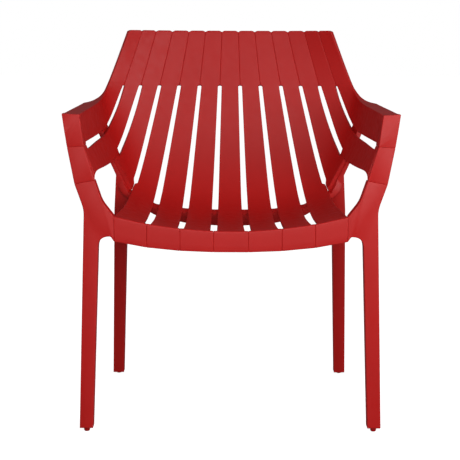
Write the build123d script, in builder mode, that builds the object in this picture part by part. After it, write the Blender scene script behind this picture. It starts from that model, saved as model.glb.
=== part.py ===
# Slatted plastic armchair: thirteen fanned slats, two front and two rear legs,
# a rear rib and a front rail under the seat, and four push-in foot glides.
# The sitter faces -Y, +X is the right-hand side seen from in front, Z is up.
import os
from math import exp, log

from build123d import *

os.makedirs("parts", exist_ok=True)

# ---- driving dimensions, mm ----
overall_depth = 548
back_height = 795  # top edge above the floor
seat_depth = 443  # front face to the seat's rear corner, at the middle
seat_height = 403  # front edge of the seat, at the middle
arm_height = 629  # inner top edge of an arm
arm_slot_height = 568  # seam between the two slats of an arm
opening_height = 519.5  # lower edge of the arm, over the side opening
arm_seam_height = 502  # where the arm's front face meets the leg
arm_half_gap = 292  # middle of the chair to the inside of an arm, at its top
seat_slat_pitch = 65
back_slat_pitch = 37.6
slat_thickness = 8
edge_bead = 1  # how far the free edge of the outer slats stands out behind
slot_width_back = [8.2, 8.2, 8.2, 8.2, 8.2, 5]  # at each seam, where the slots end up the back
slot_width_seat = [13.2, 13.2, 13.2, 13.2, 17, 11]  # the same along the seat and the arm
slot_top_height = back_height - 124
seat_slot_end = 16  # from the front face to the front end of a seat slot
arm_slot_end = 42  # the same for the slot along an arm
arm_end_depths = [18, 28]  # sections between an arm's front face and that slot
frame_width = 34  # width of the arms' front faces and tops
front_plate = 10  # thickness of the front faces, front to back
band_height = 41.5  # turned-down front of the seat, at the middle
band_growth = 2.5  # how much more that is at each seam outwards
lip_radius = 4
seam_groove = 0.8
foot_gap = 9  # front leg's end above the floor
rear_foot_gap = 4

# seams from the middle outwards: four along the seat, then the side opening's
# upper edge, the arm slot and the arm's top edge
seat_rise_front = [0, 5, 14, 28.5]
seat_rise_rear = [0, 2, 13, 51]
seat_spread_front = [1.5, 1.9, 1.6, 0]  # how far the seams lie outside the even pitch
seat_spread_rear = [1.5, 4.2, 6.5, -4]
seat_drop = 40  # fall of the seat from its front edge to its rear corner
arm_inset_front = [28, 8, 0]
arm_inset_rear = [42, 17, 5]
arm_drop_rear = [17, 0, -9]
rear_corner_back = [0, 0, 1, 7, 21, 27, 25]
top_forward = [0, 1, 3, 8, 18, 36, 55]  # how far the top edge wraps forward
top_pitch_loss = [0, 0, 0, 0, 1, 8, 17]
opening_corner = 18  # softness of the side opening's front upper corner
corner_softness = 5  # a seam's back stretch over the softness of its bend
softness_reach = 166  # height above the arms to which that stretch is reckoned
seat_seam_slant = 15  # a rear corner's rise over how far it shifts inwards for it

front_y = -overall_depth / 2
top_y = overall_depth / 2 - slat_thickness
rear_corner_y = front_y + seat_depth
lip_y = front_y + seat_slot_end
arm_end_y = front_y + arm_slot_end
outermost = 6.5


def side_sign(k):
    return 1 if k > 0 else -1


def seam_ends(k):
    """Front end, rear corner and top end of seam k, half numbers from the middle."""
    m = int(abs(k))
    top_x = back_slat_pitch * (m + 0.5) - top_pitch_loss[m]
    top = Vector(top_x, top_y - top_forward[m], back_height)
    if m < 4:
        x = seat_slat_pitch * (m + 0.5)
        front = Vector(x + seat_spread_front[m], front_y, seat_height + seat_rise_front[m])
        rear_z = seat_height - seat_drop + seat_rise_rear[m]
        rear_x = x + seat_spread_rear[m] - seat_rise_rear[m] / seat_seam_slant
        corner = Vector(rear_x, rear_corner_y + rear_corner_back[m], rear_z)
    else:
        z = [opening_height, arm_slot_height, arm_height][m - 4]
        front = Vector(arm_half_gap - arm_inset_front[m - 4], front_y, z)
        rear_x = arm_half_gap - arm_inset_rear[m - 4]
        corner = Vector(rear_x, rear_corner_y + rear_corner_back[m], z - arm_drop_rear[m - 4])
    return front, corner, top


def seam_point(k, s):
    """Point of seam k at s mm past its corner: two straight lines, softly joined."""
    front, corner, top = seam_ends(k)
    bend_top = Vector(top.X, top.Y, arm_height + softness_reach)
    softness = (bend_top - corner).length / corner_softness
    forward = softness * log(1 + exp(-s / softness))
    upward = softness * log(1 + exp(s / softness))
    point = corner + (front - corner).normalized() * forward
    point += (top - corner).normalized() * upward
    if int(abs(k)) == 4:
        reach = (point.Y - front_y) / opening_corner
        point -= Vector(0, 0, (opening_height - arm_seam_height) * exp(-max(reach, 0)))
    return Vector(point.X * side_sign(k), point.Y, point.Z)


def seam_at(k, axis, value):
    """The s at which seam k crosses the plane where that coordinate is value."""
    low, high = -700.0, 600.0
    for _ in range(50):
        middle = (low + high) / 2
        if getattr(seam_point(k, middle), axis) < value:
            low = middle
        else:
            high = middle
    return (low + high) / 2


# ---- legs, rib, rail and glides ----
leg_depth = 28
leg_kink = (285.5, 445)  # outer edge where the leg begins
leg_crotch = (257.6, 392.3)  # inner edge of the leg, carried up to the arch's height
leg_arch_x = 236  # where the arch turns down to the band's lower edge
leg_foot_x = 271.8
leg_foot_width = 26.5
frame_bend = (22.5, 29)  # from the seat seam to a bend of the frame's inner edge
crotch_radius = 18
kink_radius = 20
# rear leg's inner and outer side, distance from the front face, depth and height
rear_foot = (245.5, 270, 478, 28, rear_foot_gap)
rear_leg_top = (228, 256, 370, 42, 400)  # below the seat
rear_leg_waist = (214, 251, 359, 53, 478)  # beside the side opening
rear_leg_flare = (204, 270, 352, 60, 522)  # spread under the slats
rib_height = 30  # at the middle
rib_fade = 2  # how much less it is away from the middle, times the half-seam squared
side_rib_height = 11
rib_rear_s = -52
rib_width = 26
side_rib_rear_s = -22
side_rib_width = 58
rail_height = 16
rail_depth = 12
rail_lift = 5  # from the band's lower edge up to the rail
glide_radius = 6
glide_flat_radius = 3.5
glide_stem_radius = 3
glide_stem_length = 14
glide_clearance = 0.1
bore_depth = glide_stem_length + glide_clearance
fit_clearance = 0.1  # between the slats and what carries them
zone_steps = 24
zone_overlap = 1
zone_reach = (-440, 170)  # s at the front and rear end of a shell zone
zone_inward = 34

# ---- solids ----
back_steps = [0.8, 0.6, 0.4, 0.25, 0.12]
seat_steps = [0, 0.05, 0.1, 0.16, 0.24, 0.34, 0.46, 0.6, 0.74, 0.88]
corner_slat_ends = (62, 100)  # the slats over the rear legs end so far past the corner
slot_close = {3: 18, 4: 56}  # where their slots begin to close in front of the corner
slot_close_run = 14
joint_gap = 2.4  # what stays open of them further forward
flange_run = 90  # length over which an arm's wide top fades into the back's edge
arm_top_tilt = 0.18
up = Vector(0, 0, 1)
rear = Vector(0, 1, 0)


def smooth(x):
    x = min(max(x, 0), 1)
    return x * x * (3 - 2 * x)


def half_slot(k, step, s):
    """Half the slot at seam k; step is 1 at the slot's top, 0 at the corner, -1 in front."""
    m = int(abs(k))
    if m == 6:
        return 0
    width = slot_width_seat[m] + (slot_width_back[m] - slot_width_seat[m]) * max(step, 0)
    if m in slot_close:
        width = max(width * (1 - smooth((-s - slot_close[m]) / slot_close_run)), joint_gap)
    return width / 2


def flange(step_s):
    """How far the arm's top reaches out past its wall, at s past the corner."""
    wide = frame_width - slat_thickness
    return edge_bead + (wide - edge_bead) * smooth(0.1 - step_s / flange_run)


def plan_normal(a, b):
    return (b - a).normalized().cross(up).normalized() * -1


def top_miter(k, z):
    """Thickness vector at seam k in the level plane z, halving the angle of its slats."""
    here = seam_point(k, seam_at(k, "Z", z))
    if abs(k) == outermost:
        inner = k - side_sign(k)
        beside = seam_point(inner, seam_at(inner, "Z", z))
        return plan_normal(*((beside, here) if k > 0 else (here, beside))) * slat_thickness
    low = seam_point(k - 1, seam_at(k - 1, "Z", z))
    high = seam_point(k + 1, seam_at(k + 1, "Z", z))
    n1, n2 = plan_normal(low, here), plan_normal(here, high)
    return (n1 + n2) * (slat_thickness / (1 + n1.dot(n2)))


def face_line(k):
    """Seam line across the front face: from the inner edge outwards, as a vector."""
    m = int(abs(k))
    if m < 4:
        return Vector(0, 0, -band_height - band_growth * m)
    rise, widen = [(-7.3, 4.9), (-2, -1.5), (1.6, 0)][m - 4]
    return Vector((frame_width + widen) * side_sign(k), 0, rise)


def front_miter(k):
    line = face_line(k)
    return line * (slat_thickness / (band_height if abs(k) < 4 else frame_width))


def outline(corners, origin, normal):
    """A closed flat outline through points that lie in one plane."""
    plane = Plane(origin=origin, x_dir=(corners[1] - corners[0]), z_dir=normal)
    with BuildSketch(plane) as section:
        with BuildLine():
            Polyline(*[plane.to_local_coords(p) for p in corners], close=True)
        make_face()
    return section


def bar_corners(j, s_left, s_right, inset_left=0, inset_right=0, miters=None):
    """Section of slat j between its two seams: inner edges, then outer edges."""
    k_left, k_right = j - 0.5, j + 0.5
    a, b = seam_point(k_left, s_left), seam_point(k_right, s_right)
    across = (b - a).normalized()
    a += across * inset_left
    b -= across * inset_right
    if miters is None:
        along = seam_point(k_left, s_left + 1) - seam_point(k_left, s_left - 1)
        along += seam_point(k_right, s_right + 1) - seam_point(k_right, s_right - 1)
        miters = [along.cross(across).normalized() * slat_thickness] * 2
    return [a, b, b + miters[1], a + miters[0]]


def slat_corners(j, s_left, s_right, step, miters=None, closed=False):
    """The same for slat j as it is made: slots open, and a wide top on an arm."""
    insets = (half_slot(j - 0.5, step, s_left), half_slot(j + 0.5, step, s_right))
    if closed:
        insets = (0, 0)
    a, b, b_out, a_out = bar_corners(j, s_left, s_right, *insets, miters)
    across = (b - a).normalized()
    v_right = b_out - b
    if j < 6:
        return [a, b, b_out, a_out]
    out = v_right.normalized()
    if not miters:
        out += across * arm_top_tilt * smooth(-s_right / flange_run)
    tip = b + v_right + out * flange(s_right)
    down = across * slat_thickness
    return [a, b, tip, tip - down, b_out - down, a_out]


def slat_body(j):
    """The open stretch of slat j, from the top of its slots to their front end."""
    k_left, k_right = j - 0.5, j + 0.5
    top_s = [seam_at(k, "Z", slot_top_height) for k in (k_left, k_right)]
    if j == 4:
        end_s = [-end for end in corner_slat_ends]
    else:
        end_y = lip_y if j < 4 else arm_end_y
        end_s = [seam_at(k, "Y", end_y) for k in (k_left, k_right)]
    miters = [top_miter(k, slot_top_height) for k in (k_left, k_right)]
    rows = [slat_corners(j, *top_s, 1, miters)]
    for step in back_steps:
        rows.append(slat_corners(j, top_s[0] * step, top_s[1] * step, step))
    for step in seat_steps:
        rows.append(slat_corners(j, end_s[0] * step, end_s[1] * step, -step))
    miters = None if j == 4 else [front_miter(k) for k in (k_left, k_right)]
    rows.append(slat_corners(j, *end_s, -1, miters))
    return rows


def skin(rows):
    """A solid whose long edges run smoothly through the corners of the rows."""
    edges = [Edge.make_spline([row[i] for row in rows]) for i in range(len(rows[0]))]
    sides = [
        Face.make_surface_from_curves(edges[i - 1], edges[i]) for i in range(len(edges))
    ]
    ends = [Face(Wire.make_polygon(row)) for row in (rows[0], rows[-1])]
    return Solid(Shell(sides + ends))


def top_block(j, z):
    """Section of slat j above the slots, with half a V-groove at each seam."""
    k_left, k_right = j - 0.5, j + 0.5
    a, b = [seam_point(k, seam_at(k, "Z", z)) for k in (k_left, k_right)]
    v_left, v_right = [top_miter(k, z) for k in (k_left, k_right)]
    across = (b - a).normalized() * seam_groove
    deep = seam_groove / slat_thickness
    left = [a + v_left, a + v_left * deep, a + across]
    if j < 6:
        right = [b - across, b + v_right * deep, b + v_right]
    else:
        tip = b + v_right * (1 + edge_bead / slat_thickness)
        down = across * (slat_thickness / seam_groove)
        right = [b, tip, tip - down, b + v_right - down]
    return outline(left + right, Vector(0, 0, z), up)


def front_face(j, depth):
    """Slat j's front face, that deep: between two seam lines of the front frame."""
    lines = []
    for k in (j - 0.5, j + 0.5):
        seam_depth = 0 if abs(k) == 4.5 else depth
        inner = seam_point(k, seam_at(k, "Y", front_y + seam_depth))
        inner = Vector(inner.X, front_y + depth, inner.Z)
        lines.append((inner, inner + face_line(k)))
    (a, a_out), (b, b_out) = lines
    return outline([a, b, b_out, a_out], a, -rear).sketch


def make_slat(j):
    """One whole slat: the open stretch, its closed ends and its front face."""
    with BuildPart() as slat:
        add(skin(slat_body(j)))
        loft(sections=[top_block(j, z).sketch for z in (slot_top_height, back_height)], ruled=True)
        if j != 4:
            depths = [0, front_plate, seat_slot_end]
            if j > 4:
                depths[-1:] = [*arm_end_depths, arm_slot_end]
            miters = [front_miter(k) for k in (j - 0.5, j + 0.5)]
            closed = []
            for depth in depths:
                s = [seam_at(k, "Y", front_y + depth) for k in (j - 0.5, j + 0.5)]
                corners = slat_corners(j, *s, -1, miters, closed=True)
                closed.append(outline(corners, corners[0], -rear).sketch)
            loft(sections=closed, ruled=True)
            loft(sections=[front_face(j, depth) for depth in (0, front_plate)], ruled=True)
        if j < 4:
            a, b = [seam_point(k, seam_at(k, "Y", front_y)) for k in (j - 0.5, j + 0.5)]
            fillet(slat.edges().sort_by_distance((a + b) / 2)[0], lip_radius)
    return slat


def shell_zone(j, front_s, rear_s, inward):
    """The space from the back of slat j to that far on the sitter's side of it."""
    rows = []
    for i in range(zone_steps + 1):
        s = front_s + (rear_s - front_s) * i / zone_steps
        a, b, b_out, a_out = bar_corners(j, s, s)
        side = (b - a).normalized() * zone_overlap
        lift = (a - a_out).normalized() * inward
        gap = (a_out - a).normalized() * fit_clearance
        outer_edges = [b_out + side + gap, a_out - side + gap]
        rows.append([a - side + lift, b + side + lift] + outer_edges)
    return skin(rows)


def make_front_leg(seat_slat):
    """Leg and frame corner in one, from the arm's seam down to the glide."""
    line = face_line(4.5)
    seam = seam_point(4.5, seam_at(4.5, "Y", front_y))
    seat = seam_point(3.5, seam_at(3.5, "Y", front_y))
    band_bottom = seat + face_line(3.5)
    crotch_x, crotch_z = leg_crotch
    with BuildPart() as leg:
        with BuildSketch(Plane.XZ.offset(-front_y - leg_depth)):
            with BuildLine():
                Polyline(
                    (seat.X, seat.Z),
                    (seat.X + frame_bend[0], seat.Z + frame_bend[1]),
                    (seam.X, arm_seam_height),
                    (seam.X + line.X, arm_seam_height + line.Z),
                    leg_kink,
                    (leg_foot_x + leg_foot_width, foot_gap),
                    (leg_foot_x, foot_gap),
                    leg_crotch,
                    (leg_arch_x, leg_crotch[1]),
                    (band_bottom.X, band_bottom.Z),
                    close=True,
                )
            make_face()
        extrude(amount=leg_depth)
        crotch = leg.edges().filter_by(Axis.Y).sort_by_distance((crotch_x, front_y, crotch_z))
        fillet(crotch[0], crotch_radius)
        kink = leg.edges().filter_by(Axis.Y).sort_by_distance((leg_kink[0], front_y, leg_kink[1]))
        fillet(kink[0], kink_radius)
        foot = leg.faces().sort_by(Axis.Z)[0]
        extrude(bore_profile(foot.center()), amount=bore_depth, mode=Mode.SUBTRACT)
        add(seat_slat, mode=Mode.SUBTRACT)
    return leg, foot.center()


def bore_profile(place):
    """Outline of the blind hole for a glide's stem, on the end of a leg."""
    with BuildSketch(Plane.XY.offset(place.Z)) as profile:
        with Locations((place.X, place.Y)):
            Circle(glide_stem_radius + glide_clearance)
    return profile.sketch


def rear_leg_section(inner, outer, setback, depth, z):
    with BuildSketch(Plane.XY.offset(z)) as section:
        with Locations(((inner + outer) / 2, front_y + setback + depth / 2)):
            Rectangle(outer - inner, depth)
    return section.sketch


def make_rear_leg():
    """Raked leg, spreading under the slats and cut to their underside."""
    inner, outer, setback, depth, z = rear_foot
    place = Vector((inner + outer) / 2, front_y + setback + depth / 2, z)
    sizes = (rear_foot, rear_leg_top, rear_leg_waist, rear_leg_flare)
    sections = [rear_leg_section(*size) for size in sizes]
    with BuildPart() as leg:
        for i in range(3):
            loft(sections=sections[i : i + 2], ruled=True)
        for j in (3, 4, 5):
            add(shell_zone(j, *zone_reach, zone_inward), mode=Mode.SUBTRACT)
        extrude(bore_profile(place), amount=bore_depth, mode=Mode.SUBTRACT)
    return leg, place


def make_glide(place):
    """Domed head on the floor and a stem in the leg's bore."""
    stem_top = place.Z + glide_stem_length
    with BuildPart() as glide:
        with BuildSketch(Plane(origin=(place.X, place.Y, 0), x_dir=(1, 0, 0), z_dir=(0, -1, 0))):
            with BuildLine():
                Polyline(
                    (0, 0),
                    (glide_flat_radius, 0),
                    (glide_radius - 1, place.Z / 3),
                    (glide_radius, place.Z / 2),
                    (glide_radius, place.Z),
                    (glide_stem_radius, place.Z),
                    (glide_stem_radius, stem_top),
                    (0, stem_top),
                    close=True,
                )
            make_face()
        revolve(axis=Axis((place.X, place.Y, 0), (0, 0, 1)))
    return glide


def between(k, s):
    """Point of the slats' inner face at s, for any k from seam to seam."""
    low = min(max(int(k + 20) - 20.5, -outermost), outermost - 1)
    share = k - low
    return seam_point(low, s) * (1 - share) + seam_point(low + 1, s) * share


def rib_row(k):
    """Section of the rib at k: its top inside the slats, its foot below them."""
    j = min(max(round(k), -6), 6)
    m = smooth((abs(k) - 3) / 2)
    rear_s = rib_rear_s * (1 - m) + side_rib_rear_s * m
    width = rib_width + (side_rib_width - rib_width) * m
    rear_point, front_point = between(k, rear_s), between(k, rear_s - width)
    a, b, b_out, a_out = bar_corners(j, rear_s - width / 2, rear_s - width / 2)
    down = (a_out - a).normalized()
    deep = slat_thickness + max(rib_height - rib_fade * k * k, side_rib_height)
    top, foot = down * (slat_thickness / 2), down * deep
    return [rear_point + top, front_point + top, front_point + foot, rear_point + foot]


def make_rib(low, high, legs):
    """Rib under the slats from one half-seam number to another, up to the legs."""
    with BuildPart() as rib:
        add(skin([rib_row(i / 2) for i in range(low, high + 1)]))
        for j in range(-6, 7):
            if low / 2 - 1 < j < high / 2 + 1:
                add(shell_zone(j, *zone_reach, zone_inward), mode=Mode.SUBTRACT)
        for leg in legs:
            add(leg, mode=Mode.SUBTRACT)
    return rib.part.solids().sort_by(SortBy.VOLUME)[-1]


def make_front_rail():
    """Bar behind the seat's turned-down front, from leg to leg."""
    low, high = [], []
    for i in range(-4, 4):
        k = i + 0.5
        edge = seam_point(k, seam_at(k, "Y", front_y)) + face_line(k)
        low.append((edge.X, edge.Z + rail_lift))
        high.append((edge.X, edge.Z + rail_lift + rail_height))
    with BuildPart() as rail:
        with BuildSketch(Plane.XZ.offset(-front_y - front_plate)):
            with BuildLine():
                Polyline(*low, *reversed(high), close=True)
            make_face()
        extrude(amount=-rail_depth)
    return rail


def save(solid, name):
    solid.label = name
    export_step(solid, f"parts/{name}.step")


def save_pair(solid, name):
    """The right-hand piece as made, and its mirror image on the left."""
    save(solid, name + "_right")
    save(mirror(solid, about=Plane.YZ), name + "_left")


slat_names = ["seat_slat_middle", "seat_slat_1", "seat_slat_2", "seat_slat_3"]
slat_names += ["corner_slat", "arm_slat_lower", "arm_slat_upper"]
slats = [make_slat(j).part for j in range(7)]
save(slats[0], slat_names[0])
for j in range(1, 7):
    save_pair(slats[j], slat_names[j])

front_leg, front_foot = make_front_leg(slats[3])
save_pair(front_leg.part, "front_leg")
save_pair(make_glide(front_foot).part, "front_glide")

rear_leg, rear_foot_place = make_rear_leg()
rear_leg_solid = rear_leg.part.solids().sort_by(Axis.Z)[0]
save_pair(rear_leg_solid, "rear_leg")
save_pair(make_glide(rear_foot_place).part, "rear_glide")

rear_legs = [rear_leg_solid, mirror(rear_leg_solid, about=Plane.YZ)]
save(make_rib(-8, 8, rear_legs), "rear_rib")
save_pair(make_rib(8, 12, rear_legs), "side_rib")
save(make_front_rail().part, "front_rail")
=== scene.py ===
import bmesh
import bpy
import numpy as np
from math import radians
from mathutils import Matrix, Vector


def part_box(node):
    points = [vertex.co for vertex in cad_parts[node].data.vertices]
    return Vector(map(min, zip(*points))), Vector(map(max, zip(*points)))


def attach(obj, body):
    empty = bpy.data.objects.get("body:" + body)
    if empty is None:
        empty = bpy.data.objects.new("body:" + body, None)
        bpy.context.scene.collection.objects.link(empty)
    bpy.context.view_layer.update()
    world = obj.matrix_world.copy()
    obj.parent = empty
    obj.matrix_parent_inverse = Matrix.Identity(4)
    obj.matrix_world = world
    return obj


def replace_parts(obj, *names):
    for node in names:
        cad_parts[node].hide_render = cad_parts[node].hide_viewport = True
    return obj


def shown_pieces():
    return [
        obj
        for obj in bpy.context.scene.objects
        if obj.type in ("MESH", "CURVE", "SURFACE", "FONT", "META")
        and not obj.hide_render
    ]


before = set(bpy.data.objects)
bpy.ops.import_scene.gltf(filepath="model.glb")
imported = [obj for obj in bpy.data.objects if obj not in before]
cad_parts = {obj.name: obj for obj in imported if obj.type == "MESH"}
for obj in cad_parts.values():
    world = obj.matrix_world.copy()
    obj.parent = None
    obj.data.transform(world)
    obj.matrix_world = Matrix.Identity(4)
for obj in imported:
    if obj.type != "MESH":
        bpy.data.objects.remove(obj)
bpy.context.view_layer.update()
mm = 0.001

# sizes of the shell's seams in mm, the same as the frame's; lists run from the
# middle of the chair outwards
shell = {
    "depth": 548, "backHeight": 795, "seatDepth": 443, "seatHeight": 403,
    "armHeight": 629, "armSlotHeight": 568, "openingHeight": 519.5,
    "armSeamHeight": 502, "armHalfGap": 292, "seatPitch": 65, "backPitch": 37.6,
    "thickness": 8, "bandHeight": 41.5, "bandGrowth": 2.5, "frameWidth": 34,
    "seatRiseFront": [0, 5, 14, 28.5], "seatRiseRear": [0, 2, 13, 51], "seatDrop": 40,
    "seatSpreadFront": [1.5, 1.9, 1.6, 0], "seatSpreadRear": [1.5, 4.2, 6.5, -4],
    "armInsetFront": [28, 8, 0], "armInsetRear": [42, 17, 5],
    "armDropRear": [17, 0, -9], "cornerBack": [0, 0, 1, 7, 21, 27, 25],
    "topForward": [0, 1, 3, 8, 18, 36, 55], "topPitchLoss": [0, 0, 0, 0, 1, 8, 17],
    "openingCorner": 18, "cornerSoftness": 5, "seamSlant": 15,
    # seams across the arm's front face: how much each rises, and how much wider it is
    "faceLine": [(-7.3, 4.9), (-2, -1.5), (1.6, 0)],
}
frontY = -shell["depth"] / 2
topY = shell["depth"] / 2 - shell["thickness"]
cornerY = frontY + shell["seatDepth"]


def unit(v):
    return v / np.linalg.norm(v, axis=-1, keepdims=True)


def smooth(x):
    # 0 up to 0, 1 from 1, an even S between
    x = np.clip(x, 0, 1)
    return x * x * (3 - 2 * x)


def seamEnds(k):
    # front end, rear corner and top end of seam k, on its positive side
    m = int(abs(k))
    topX = shell["backPitch"] * (m + 0.5) - shell["topPitchLoss"][m]
    top = [topX, topY - shell["topForward"][m], shell["backHeight"]]
    if m < 4:
        x, rise = shell["seatPitch"] * (m + 0.5), shell["seatRiseRear"][m]
        rearX = x + shell["seatSpreadRear"][m]
        frontX, frontZ = x + shell["seatSpreadFront"][m], shell["seatHeight"] + shell["seatRiseFront"][m]
        front = [frontX, frontY, frontZ]
        cornerZ = shell["seatHeight"] - shell["seatDrop"] + rise
        corner = [rearX - rise / shell["seamSlant"], cornerY + shell["cornerBack"][m], cornerZ]
    else:
        z = [shell["openingHeight"], shell["armSlotHeight"], shell["armHeight"]][m - 4]
        front = [shell["armHalfGap"] - shell["armInsetFront"][m - 4], frontY, z]
        cornerX = shell["armHalfGap"] - shell["armInsetRear"][m - 4]
        cornerZ = z - shell["armDropRear"][m - 4]
        corner = [cornerX, cornerY + shell["cornerBack"][m], cornerZ]
    return np.array(front), np.array(corner), np.array(top)


def seamPoint(k, s):
    # point s mm past the corner: two straight lines, joined over a softness by
    # the logarithm of one plus an exponential
    front, corner, top = seamEnds(k)
    soft = np.linalg.norm(top - corner) / shell["cornerSoftness"]
    s = np.atleast_1d(np.asarray(s, float))[:, None] / soft
    point = corner + unit(front - corner) * soft * np.logaddexp(0, -s)
    point = point + unit(top - corner) * soft * np.logaddexp(0, s)
    if int(abs(k)) == 4:
        reach = (point[:, 1] - frontY) / shell["openingCorner"]
        fall = shell["openingHeight"] - shell["armSeamHeight"]
        point[:, 2] -= fall * np.exp(-np.maximum(reach, 0))
    point[:, 0] *= np.sign(k)
    return point


def seamAt(k, axis, value):
    # s where the seam crosses that value of Y (1) or Z (2)
    s = np.linspace(-700 if axis == 1 else 0, 600, 5201)  # longer than any seam
    return np.interp(value, seamPoint(k, s)[:, axis], s)


# sections and skins
section = {
    "flatShare": 0.05,  # straight kept beside a softened corner, of its shorter edge
    "flatMost": 0.35,  # and the most of it, mm
    "leastSine": 0.2,  # keeps an inset corner from running off where edges nearly meet
    "sharpAngle": 34,
}


def softLoops(corners, cuts, steps=4, most=0.45):
    # every corner of each polygon is cut back along both its edges and joined by
    # a parabola whose control point is the corner; a short straight keeps flats flat
    toLast, toNext = np.roll(corners, 1, 1) - corners, np.roll(corners, -1, 1) - corners
    room = most * np.minimum(np.linalg.norm(toLast, axis=2), np.linalg.norm(toNext, axis=2))
    cut = np.minimum(np.asarray(cuts, float), room)[..., None, None]
    t = np.linspace(0, 1, steps + 1)[None, None, :, None]
    start = corners[:, :, None] + unit(toLast)[:, :, None] * cut
    end = corners[:, :, None] + unit(toNext)[:, :, None] * cut
    arc = (1 - t) ** 2 * start + 2 * t * (1 - t) * corners[:, :, None] + t**2 * end
    flat = np.minimum(section["flatMost"], section["flatShare"] * room)[..., None, None]
    lead = start + unit(toLast)[:, :, None] * flat
    trail = end + unit(toNext)[:, :, None] * flat
    loops = np.concatenate([lead, arc, trail], axis=2)
    return loops.reshape(len(corners), -1, 3)


def insetCorners(corners, insets, axis):
    # each edge of the polygons moves in by its own inset; edge i starts at corner i
    toLast = unit(np.roll(corners, 1, 1) - corners)
    toNext = unit(np.roll(corners, -1, 1) - corners)
    turn = np.cross(toNext, toLast)
    side = np.sign(np.sum(turn * axis[:, None], axis=2))
    side = side * np.sign(np.sum(side, axis=1, keepdims=True))
    sine = np.maximum(np.linalg.norm(turn, axis=2), section["leastSine"])
    ownEdge, lastEdge = insets, np.roll(insets, 1, 1)
    move = toLast * (ownEdge / sine * side)[..., None]
    return corners + move + toNext * (lastEdge / sine * side)[..., None]


def makePiece(name, loops):
    # a closed skin through loops of points in mm, capped flat at both ends
    n, m = loops.shape[:2]
    i, j = np.meshgrid(np.arange(n - 1), np.arange(m), indexing="ij")
    near, far = i * m + j, i * m + (j + 1) % m
    quads = np.stack([near, far, far + m, near + m], axis=2).reshape(-1, 4)
    middle = loops.reshape(-1, 3).mean(0)
    a, b, c, d = np.moveaxis(loops.reshape(-1, 3)[quads] - middle, 1, 0)
    volume = np.sum(a * np.cross(b, c)) + np.sum(a * np.cross(c, d))
    faces = quads.tolist() + [list(range(m - 1, -1, -1)), list(range((n - 1) * m, n * m))]
    if volume < 0:
        faces = [face[::-1] for face in faces]
    mesh = bpy.data.meshes.new(name)
    mesh.from_pydata((loops.reshape(-1, 3) * mm).tolist(), [], faces)
    mesh.polygons.foreach_set("use_smooth", np.ones(len(mesh.polygons), bool))
    mesh.set_sharp_from_angle(angle=radians(section["sharpAngle"]))
    mesh.validate()
    piece = bpy.data.objects.new(name, mesh)
    bpy.context.collection.objects.link(piece)
    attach(piece, "root")
    return piece


def sided(name, j):
    return name + ("_left" if j < 0 else "_right") if j else name


# slats
slat = {
    "edge": 1.3,  # softness of the long edges
    "seamEdge": 1.5,  # the same where slats meet
    "topEdge": 1.8,  # rounding of the top edge, front to back
    "topRun": 3.2,  # over what height it rounds
    "topNotch": 4.5,  # how much more each top corner pulls in sideways
    "topCorner": 6.5,  # the same at the back's two outer corners
    "faceEdge": 1.3,  # edges of the front faces
    "lip": 3.0,  # radius of the seat's front lip
    "slotTop": 671,
    # slot widths at each seam from the middle, up the back and along the seat
    "slotBack": [8.2, 8.2, 8.2, 8.2, 8.2, 5], "slotSeat": [13.2, 13.2, 13.2, 13.2, 17, 11],
    "slotEndSeat": 16, "slotEndArm": 42,  # from the front face
    "slotCorner": 2.0,
    "cornerSlatEnds": (62, 100),  # past the rear corner, at its two seams
    "slotClose": {3: 18, 4: 56}, "slotCloseRun": 14,  # where their slots close, and how fast
    "armSlotDip": 0.55, "armSlotDipRun": 200,  # the arm slot widens forwards, from there on
    "frontPlate": 10, "plateStep": 0.05,  # arm's front face, and its step to the slat
    "armDepths": [40, 36, 31, 25, 18, 12], "plateMiddle": 6,
    "frontFade": 24,  # over what depth a slat turns into its front face
    "edgeBead": 1, "flangeRun": 90, "flangeLead": 0.1, "topTilt": 0.18,
    "miterFade": 60,
    "seamPull": 0.5,  # how much of the face's edge is kept where two faces meet
    "station": 7, "backStations": 22,  # mm between stations, and stations above the slots
}
nearEnd = np.array([0, 0.12, 0.5, 1.0, 1.5, 2.0, 3.0, 5.0])  # mm from a slot's end
turnIn = np.radians(np.linspace(90, 0, 5))


def halfSlot(k, s, endS, topS):
    # half the opening at seam k: wider downwards, round-cornered at both ends
    m = int(abs(k))
    if m == 6:
        return np.zeros_like(s)
    low, high = slat["slotSeat"][m], slat["slotBack"][m]
    width = low + (high - low) * np.clip(s / topS, 0, 1)
    if m in slat["slotClose"]:
        width = width * (1 - smooth((-s - slat["slotClose"][m]) / slat["slotCloseRun"]))
    nearest = np.clip(np.minimum(topS - s, s - endS), 0, None)
    roundness = np.sqrt(1 - (1 - np.clip(nearest / slat["slotCorner"], 0, 1)) ** 2)
    return width / 2 * roundness


def slotRun(fromS, toS):
    # shares of a stretch, close together where it meets the end of a slot
    length = abs(toS - fromS)
    even = np.linspace(0, 1 - 9 / length, int(length / slat["station"]))[:-1]
    return np.concatenate([even, 1 - nearEnd[::-1] / length])


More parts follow.
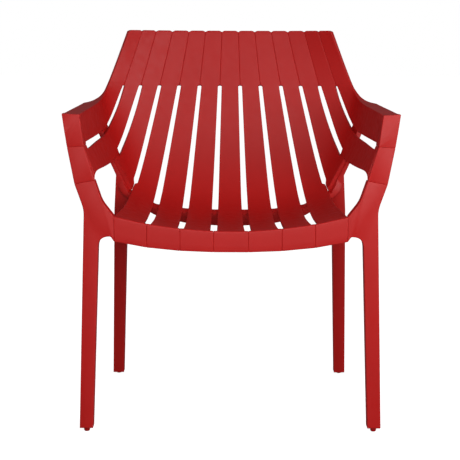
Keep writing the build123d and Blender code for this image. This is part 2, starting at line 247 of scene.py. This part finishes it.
def slatTracks(j):
    # both edges of slat j's sitter side, station by station from the top to the front
    seams = (j - 0.5, j + 0.5)
    rounded = shell["backHeight"] - slat["topRun"] * (1 - np.sin(turnIn))
    z = np.linspace(rounded[-1], slat["slotTop"], slat["backStations"])
    z = np.concatenate([rounded, z[1:]])
    topS = [float(seamAt(k, 2, slat["slotTop"])) for k in seams]
    if abs(j) == 4:
        endS = [-float(end) for end in slat["cornerSlatEnds"]][:: 1 if j > 0 else -1]
    else:
        slotEnd = slat["slotEndSeat"] if abs(j) < 4 else slat["slotEndArm"]
        endS = [float(seamAt(k, 1, frontY + slotEnd)) for k in seams]
    backRun = 1 - slotRun(0, min(topS))[::-1]
    seatRun = slotRun(0, min(-e for e in endS))
    tracks, gaps = [], []
    for k, top, end in zip(seams, topS, endS):
        s = np.concatenate([seamAt(k, 2, z), top * (1 - backRun[1:]), end * seatRun[1:]])
        gap = halfSlot(k, s, end, top)
        gap[: len(z)] = 0
        if abs(j) == 5 and abs(k) > 5:
            gap *= 1 + slat["armSlotDip"] * smooth(-s / slat["armSlotDipRun"] - 1)
        points = seamPoint(k, s)
        if abs(j) < 4:
            lip = slat["lip"]
            depth = np.linspace(slat["slotEndSeat"], lip, 4)[1:]
            extra = seamPoint(k, seamAt(k, 1, frontY + depth))
            angle = np.radians(np.linspace(0, 90, 9)[1:])
            foot = seamPoint(k, seamAt(k, 1, frontY))[0, 2]
            foot -= shell["bandHeight"] + shell["bandGrowth"] * int(abs(k))
            edge = slat["faceEdge"]
            turn = np.stack([np.full(len(angle), extra[-1, 0]), frontY + lip * (1 - np.sin(angle)),
                             extra[-1, 2] - lip * (1 - np.cos(angle))], 1)
            fall = np.concatenate([np.linspace(turn[-1, 2], foot + edge, 4)[1:-1],
                                   foot + edge * (1 - np.sin(turnIn[::-1]))])
            flat = np.ones(len(fall))
            down = np.stack([flat * turn[-1, 0], flat * frontY, fall], 1)
            points = np.concatenate([points, extra, turn, down])
        elif abs(j) > 4:
            step = slat["frontPlate"] + slat["plateStep"] * np.array([1, -1])
            depth = np.concatenate([slat["armDepths"], step, [slat["plateMiddle"]],
                                    slat["faceEdge"] * (1 - np.sin(turnIn[::-1]))])
            # over the leg the plate's lower seam is level, as the leg's top is
            held = np.where((depth < slat["frontPlate"]) & (abs(k) < 5), 0, depth)
            front = seamPoint(k, seamAt(k, 1, frontY + held))
            front[:, 1] = frontY + depth
            points = np.concatenate([points, front])
        tracks.append(points)
        gaps.append(np.concatenate([gap, np.zeros(len(points) - len(gap))]))
    return tracks, gaps, len(z), len(backRun) - 1 + len(seatRun) - 1


def trackNormal(left, right):
    # away from the sitter: across the slat, times along it from the top to the front
    along = np.gradient((left + right) / 2, axis=0)
    return unit(np.cross(unit(right - left), along)), unit(along)


def faceLine(k):
    # seam line across the front face, from the inner edge outwards
    m = int(abs(k))
    rise, widen = shell["faceLine"][m - 4]
    return np.array([(shell["frameWidth"] + widen) * np.sign(k), 0, rise])


tracks = {j: slatTracks(j) for j in range(-6, 7)}
normals = {j: trackNormal(*tracks[j][0])[0] for j in range(-6, 7)}


def makeSlat(j, name):
    # a polygon of corners at every station, softened, then skinned
    (left, right), (gapLeft, gapRight), topCount, openCount = tracks[j]
    normal, along = trackNormal(left, right)
    across = unit(right - left)
    thick = shell["thickness"]
    sides = []
    for other in (j - 1, j + 1):
        # halves the angle to the next slat above the slots, then fades to the slat's own
        beside = normals[other][:topCount] if other in normals else normal[:topCount]
        both = normal[:topCount] + beside
        miter = both / (1 + np.sum(normal[:topCount] * beside, axis=1))[:, None]
        side = normal.copy()
        side[:topCount] = miter
        run = np.linalg.norm(np.diff(left, axis=0), axis=1).cumsum()
        share = smooth((run[topCount - 2 :] - run[topCount - 2]) / slat["miterFade"])[:, None]
        side[topCount - 1 :] = miter[-1] * (1 - share) + normal[topCount - 1 :] * share
        sides.append(side * thick)
    a = left + across * gapLeft[:, None]
    b = right - across * gapRight[:, None]
    if abs(j) < 5:
        corners = np.stack([a, b, b + sides[1], a + sides[0]], axis=1)
    else:
        front = np.arange(len(left))[:, None] >= topCount + openCount
        depth = left[:, 1] - frontY
        share = smooth((slat["slotEndArm"] - depth) / slat["frontFade"])[:, None]
        lines = [faceLine(k) for k in (j - 0.5, j + 0.5)]
        plate = (depth < slat["frontPlate"])[:, None]
        for i in (0, 1):
            flat = lines[i] * (thick / shell["frameWidth"])
            sides[i] = np.where(front, sides[i] * (1 - share) + flat * share, sides[i])
            sides[i] = np.where(plate, lines[i], sides[i])
        corners = np.stack([a, b, b + sides[1], a + sides[0]], axis=1)
        if abs(j) == 6:
            corners = armTop(j, a, b, sides, across, share, plate)
    insets = np.zeros(corners.shape[:2])
    topIn = slat["topEdge"] * (1 - np.cos(turnIn))
    insets[: len(turnIn)] = topIn[:, None]
    pull = np.sin(turnIn)  # straight in the height, a small chamfer
    for corner, outer in ((1, j == 6), (-1, j == -6)):
        insets[: len(turnIn), corner] += slat["topCorner" if outer else "topNotch"] * pull
    if abs(j) != 4:
        insets[-len(turnIn) :] = (slat["faceEdge"] * (1 - np.cos(turnIn[::-1])))[:, None]
        insets[-len(turnIn) :, [1, -1]] *= slat["seamPull"]
    corners = insetCorners(corners, insets, along)
    corners[..., 2] = np.minimum(corners[..., 2], shell["backHeight"])
    slotOpen = np.minimum(gapLeft, gapRight) > 0
    cuts = np.where(slotOpen, slat["edge"], slat["seamEdge"])[:, None]
    piece = makePiece(name, softLoops(corners, np.repeat(cuts, corners.shape[1], 1)))
    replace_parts(piece, name)


def armTop(j, a, b, sides, across, flat, plate):
    # an L: the wall, and a top that reaches out past it and fades into the back's edge
    thick = shell["thickness"]
    inner, innerSide, outer, outerSide = (
        (a, sides[0], b, sides[1]) if j > 0 else (b, sides[1], a, sides[0]))
    up = across * np.sign(j)
    corner = seamPoint(6.5 * np.sign(j), 0)[0]
    passed = np.where(outer[:, 1] < corner[1], outer[:, 1] - corner[1], 1.0)
    wide = shell["frameWidth"] - thick
    share = smooth(slat["flangeLead"] - passed / slat["flangeRun"])
    reach = slat["edgeBead"] + (wide - slat["edgeBead"]) * share
    tilt = slat["topTilt"] * smooth(-passed / slat["flangeRun"])[:, None] * (1 - flat)
    out = unit(outerSide) + up * tilt
    tip = np.where(plate, outer + outerSide, outer + outerSide + out * reach[:, None])
    low = inner + innerSide
    loop = np.stack([inner, outer, tip, tip - up * thick, outer + outerSide - up * thick, low], 1)
    # the face is a plain quadrilateral, so two of its six corners lie along its side
    solid = np.stack([inner, outer, tip, tip + (low - tip) * 0.3, tip + (low - tip) * 0.6, low], 1)
    loop = np.where(plate[:, None], solid, loop)
    return loop if j > 0 else loop[:, [1, 0, 5, 4, 3, 2]]


slatNames = ["seat_slat_middle", "seat_slat_1", "seat_slat_2", "seat_slat_3",
             "corner_slat", "arm_slat_lower", "arm_slat_upper"]
for j in range(-6, 7):
    makeSlat(j, sided(slatNames[abs(j)], j))
print("slats skinned")

# front legs
frontLeg = {
    "depth": 28, "kink": (285.5, 445), "crotch": (257.6, 392.3), "archX": 234,
    "footX": 271.8, "footWidth": 26.5, "footGap": 9, "bend": (22.5, 29),
    "crotchSoft": 25, "kinkSoft": 12, "bendSoft": 10, "archSoft": 2.5, "seamSoft": 0.8,
    "edge": 1.5, "seamEdge": 0.6, "corner": 1.2,
    "softSteps": 8, "softMost": 0.9,  # steps round a corner, and the most of an edge it takes
}


def makeFrontLeg(side):
    # a flat outline carried straight back, its front and rear edges rounded in
    seam = seamPoint(4.5, seamAt(4.5, 1, frontY))[0]
    seat = seamPoint(3.5, seamAt(3.5, 1, frontY))[0]
    band = shell["bandHeight"] + shell["bandGrowth"] * 3
    line = faceLine(4.5)
    leg = frontLeg
    outline = np.array([
        (seat[0], seat[2]),
        (seat[0] + leg["bend"][0], seat[2] + leg["bend"][1]),
        (seam[0], shell["armSeamHeight"]),
        (seam[0] + line[0], shell["armSeamHeight"] + line[2]),
        leg["kink"],
        (leg["footX"] + leg["footWidth"], leg["footGap"]),
        (leg["footX"], leg["footGap"]),
        leg["crotch"],
        (leg["archX"], leg["crotch"][1]),
        (seat[0], seat[2] - band),
    ])
    cuts = [leg["corner"], leg["bendSoft"], leg["seamSoft"], leg["seamSoft"], leg["kinkSoft"],
            leg["corner"], leg["corner"], leg["crotchSoft"], leg["archSoft"], leg["seamSoft"]]
    edges = np.array([1, 1, 0, 1, 1, 1, 1, 1, 1, 0]) * leg["edge"]
    edges[edges == 0] = leg["seamEdge"]
    y = np.concatenate([frontY + leg["edge"] * (1 - np.sin(turnIn)),
                        frontY + leg["depth"] - leg["edge"] * (1 - np.sin(turnIn[::-1]))])
    share = np.concatenate([1 - np.cos(turnIn), 1 - np.cos(turnIn[::-1])])
    corners = np.empty((len(y), len(outline), 3))
    corners[:, :, [0, 2]] = outline
    corners[:, :, 1] = y[:, None]
    axis = np.tile([0.0, 1.0, 0.0], (len(y), 1))
    corners = insetCorners(corners, share[:, None] * edges, axis)
    corners[:, :, 0] *= side
    loops = softLoops(corners, np.tile(cuts, (len(y), 1)), leg["softSteps"], leg["softMost"])
    name = sided("front_leg", side)
    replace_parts(makePiece(name, loops), name)


for side in (-1, 1):
    makeFrontLeg(side)
print("front legs skinned")

# rear legs, ribs and rail: the frame's own shapes with softened edges
softened = {"width": 1.2, "segments": 3, "angle": 28, "mergeMm": 0.002, "flatAngle": 1.5}


def softenNode(name):
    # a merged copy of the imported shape, flat areas made one face, edges bevelled
    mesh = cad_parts[name].data.copy()
    mesh.name = name + "_soft"
    work = bmesh.new()
    work.from_mesh(mesh)
    bmesh.ops.remove_doubles(work, verts=work.verts, dist=softened["mergeMm"] * mm)
    bmesh.ops.dissolve_limit(work, angle_limit=radians(softened["flatAngle"]),
                             verts=work.verts, edges=work.edges)
    work.to_mesh(mesh)
    work.free()
    mesh.polygons.foreach_set("use_smooth", np.ones(len(mesh.polygons), bool))
    piece = bpy.data.objects.new(name + "_soft", mesh)
    bpy.context.collection.objects.link(piece)
    bevel = piece.modifiers.new("edges", "BEVEL")
    bevel.width, bevel.segments = softened["width"] * mm, softened["segments"]
    bevel.limit_method, bevel.angle_limit = "ANGLE", radians(softened["angle"])
    bevel.harden_normals = True
    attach(piece, "root")
    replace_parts(piece, name)


for name in ("rear_leg_left", "rear_leg_right", "rear_rib", "side_rib_left",
             "side_rib_right", "front_rail"):
    softenNode(name)
print("legs and ribs softened")

# glides
glide = {"radius": 6, "flat": 3.2, "stem": 3, "stemLength": 14, "turns": 40,
         "rimEdge": 0.4, "stemEdge": 0.6}


def makeGlide(name):
    # a profile of radius against height, turned about the glide's own axis
    low, high = np.array(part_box(name)) / mm
    centre, head = (low + high) / 2, high[2] - glide["stemLength"]
    t = np.radians(np.linspace(-90, 0, 10))
    dome = glide["radius"] - glide["flat"]
    rim, stem, stemTop = glide["radius"], glide["stem"], head + glide["stemLength"]
    radius = np.concatenate([glide["flat"] + dome * np.cos(t),
                             [rim, rim - glide["rimEdge"], stem, stem, stem - glide["stemEdge"]]])
    height = np.concatenate([head / 2 * (1 + np.sin(t)),
                             [head - glide["rimEdge"], head, head, stemTop - glide["stemEdge"],
                              stemTop]])
    turn = np.linspace(0, 2 * np.pi, glide["turns"], endpoint=False)
    loops = np.stack([centre[0] + radius[:, None] * np.cos(turn),
                      centre[1] + radius[:, None] * np.sin(turn),
                      np.repeat(height[:, None], len(turn), 1)], axis=2)
    piece = makePiece(name + "_turned", loops)
    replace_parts(piece, name)
    return piece


glides = [makeGlide(f"{end}_glide_{side}")
          for end in ("front", "rear") for side in ("left", "right")]
print("glides turned")


# materials
def linear(hexColour):
    # sRGB hex to the linear values that Blender's colours hold
    c = np.array([int(hexColour[i : i + 2], 16) for i in (1, 3, 5)]) / 255
    c = np.where(c <= 0.04045, c / 12.92, ((c + 0.055) / 1.055) ** 2.4)
    return (*c.tolist(), 1.0)


def addNode(tree, kind, settings=None, **inputs):
    node = tree.nodes.new("ShaderNode" + kind)
    for name, value in (settings or {}).items():
        setattr(node, name, value)
    for name, value in inputs.items():
        socket = node.inputs[name.replace("_", " ")]
        if isinstance(value, bpy.types.NodeSocket):
            tree.links.new(value, socket)
        else:
            socket.default_value = value
    return node


polypropylene = {
    "red": "#d21a17", "deepRed": "#c81714",
    "ior": 1.49, "gloss": 0.42, "roughMin": 0.40, "roughMax": 0.52,
    "grainMm": 1.1, "grainDepthMm": 0.05, "grainStrength": 0.35,
    "shadeMm": 90, "flowMm": 14,
}


def mouldedPolypropylene(name, values):
    # polypropylene from a spark-eroded mould: an even matt red, a fine pebbled
    # grain that spreads highlights, and a faint clouding where the melt flowed.
    # The real grain is about 0.3 mm; it is drawn coarser so that it shows
    material = bpy.data.materials.new(name)
    material.use_nodes = True
    tree = material.node_tree
    shader = tree.nodes["Principled BSDF"]
    place = addNode(tree, "TexCoord").outputs["Object"]
    cloud = addNode(tree, "TexNoise", Vector=place, Scale=1000 / values["shadeMm"], Detail=3.0)
    flow = addNode(tree, "TexNoise", Vector=place, Scale=1000 / values["flowMm"], Detail=4.0)
    grain = addNode(tree, "TexNoise", Vector=place, Scale=1000 / values["grainMm"], Detail=2.0,
                    Roughness=0.6)
    mixed = addNode(tree, "Mix", {"data_type": "RGBA"})
    tree.links.new(cloud.outputs["Fac"], mixed.inputs["Factor"])
    mixed.inputs[6].default_value = linear(values["deepRed"])
    mixed.inputs[7].default_value = linear(values["red"])
    tree.links.new(mixed.outputs[2], shader.inputs["Base Color"])
    rough = addNode(tree, "MapRange", Value=flow.outputs["Fac"], From_Min=0.3, From_Max=0.7,
                    To_Min=values["roughMin"], To_Max=values["roughMax"])
    tree.links.new(rough.outputs["Result"], shader.inputs["Roughness"])
    bump = addNode(tree, "Bump", Height=grain.outputs["Fac"], Strength=values["grainStrength"],
                   Distance=values["grainDepthMm"] * mm)
    tree.links.new(bump.outputs["Normal"], shader.inputs["Normal"])
    shader.inputs["IOR"].default_value = values["ior"]
    shader.inputs["Specular IOR Level"].default_value = values["gloss"]
    return material


chairRed = mouldedPolypropylene("mouldedPolypropylene", polypropylene)
glideRed = mouldedPolypropylene("polishedPolypropylene", {**polypropylene, "grainDepthMm": 0.01,
                                                          "roughMin": 0.3, "roughMax": 0.36})
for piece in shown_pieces():
    piece.data.materials.clear()
    piece.data.materials.append(glideRed if piece in glides else chairRed)
print("materials set")

# floor, light and camera
studio = {
    "floor": "#fafafa", "bounce": "#8c8c8c", "glow": 0.85, "half": 30.0,
    "world": (0.34, 0.12),  # strength in front of the chair and behind it
    "key": 14.6, "fill": 20, "rear": 8,
    "camera": (-0.018, -2.831, 0.761), "pitch": 7.9, "roll": 0.21, "yaw": 0.36,
    "lens": 36 * 1330 / 460,  # mm, for a sensor 36 mm wide
}

floorMesh = bpy.data.meshes.new("floor")
half = studio["half"]
floorCorners = [(-half, -half, 0), (half, -half, 0), (half, half, 0), (-half, half, 0)]
floorMesh.from_pydata(floorCorners, [], [(0, 1, 2, 3)])
floor = bpy.data.objects.new("floor", floorMesh)
bpy.context.collection.objects.link(floor)
paint = bpy.data.materials.new("matPaint")  # an even matt paint, nearly white, that glows a little
paint.use_nodes = True
tree = paint.node_tree
pale = tree.nodes["Principled BSDF"]
pale.inputs["Base Color"].default_value = linear(studio["floor"])
pale.inputs["Roughness"].default_value = 1.0
pale.inputs["Specular IOR Level"].default_value = 0.0
pale.inputs["Emission Color"].default_value = (1, 1, 1, 1)
pale.inputs["Emission Strength"].default_value = studio["glow"]
dull = addNode(tree, "BsdfDiffuse", Color=linear(studio["bounce"]))
mixed = addNode(tree, "MixShader", Fac=addNode(tree, "LightPath").outputs["Is Camera Ray"])
tree.links.new(dull.outputs[0], mixed.inputs[1])
tree.links.new(pale.outputs[0], mixed.inputs[2])
tree.links.new(mixed.outputs[0], tree.nodes["Material Output"].inputs["Surface"])
floorMesh.materials.append(paint)

world = bpy.data.worlds.new("studio")
bpy.context.scene.world = world
world.use_nodes = True
sky = world.node_tree
seen = addNode(sky, "LightPath").outputs["Is Camera Ray"]
dim = sky.nodes["Background"]
dim.inputs["Color"].default_value = (1, 1, 1, 1)
# the room glows in front of the chair and is dim behind it
facing = addNode(sky, "SeparateXYZ", Vector=addNode(sky, "TexCoord").outputs["Generated"])
glow = addNode(sky, "MapRange", Value=facing.outputs["Y"])
glow.inputs["From Min"].default_value, glow.inputs["From Max"].default_value = -0.5, 0.2
glow.inputs["To Min"].default_value, glow.inputs["To Max"].default_value = studio["world"]
sky.links.new(glow.outputs[0], dim.inputs["Strength"])
bright = addNode(sky, "Background", Color=(1, 1, 1, 1), Strength=1.0)
both = addNode(sky, "MixShader", Fac=seen)
sky.links.new(dim.outputs[0], both.inputs[1])
sky.links.new(bright.outputs[0], both.inputs[2])
sky.links.new(both.outputs[0], sky.nodes["World Output"].inputs["Surface"])


def addLight(name, place, target, width, height, power):
    # a soft panel at a place, turned to face the target
    data = bpy.data.lights.new(name, "AREA")
    data.shape, data.size, data.size_y, data.energy = "RECTANGLE", width, height, power
    light = bpy.data.objects.new(name, data)
    bpy.context.collection.objects.link(light)
    back = unit(np.array(place, float) - np.array(target, float))
    right = unit(np.cross([0, 0, 1], back))
    turned = np.eye(4)
    turned[:3, :3] = np.stack([right, np.cross(back, right), back], 1)
    turned[:3, 3] = place
    light.matrix_world = Matrix(turned.tolist())
    light.visible_camera = False
    return light


addLight("frontKey", (0.3, -1.7, 1.0), (0, 0, 0.5), 1.8, 1.2, studio["key"])
addLight("rightFill", (2.6, -2.3, 1.0), (0, 0, 0.5), 1.6, 1.4, studio["fill"])
for side in (-1, 1):
    addLight(f"rear{side}", (2.0 * side, 1.7, 0.5), (0, 0.1, 0.5), 1.4, 0.8, studio["rear"])

cameraData = bpy.data.cameras.new("view")
cameraData.lens, cameraData.sensor_width = studio["lens"], 36
camera = bpy.data.objects.new("view", cameraData)
bpy.context.collection.objects.link(camera)
tilt = Matrix.Rotation(radians(90 - studio["pitch"]), 4, "X")
spin = Matrix.Rotation(radians(studio["roll"]), 4, "Z")
swing = Matrix.Rotation(-radians(studio["yaw"]), 4, "Z")
camera.matrix_world = Matrix.Translation(studio["camera"]) @ swing @ tilt @ spin
bpy.context.scene.camera = camera
bpy.context.scene.view_settings.view_transform = "Standard"
print("studio set")
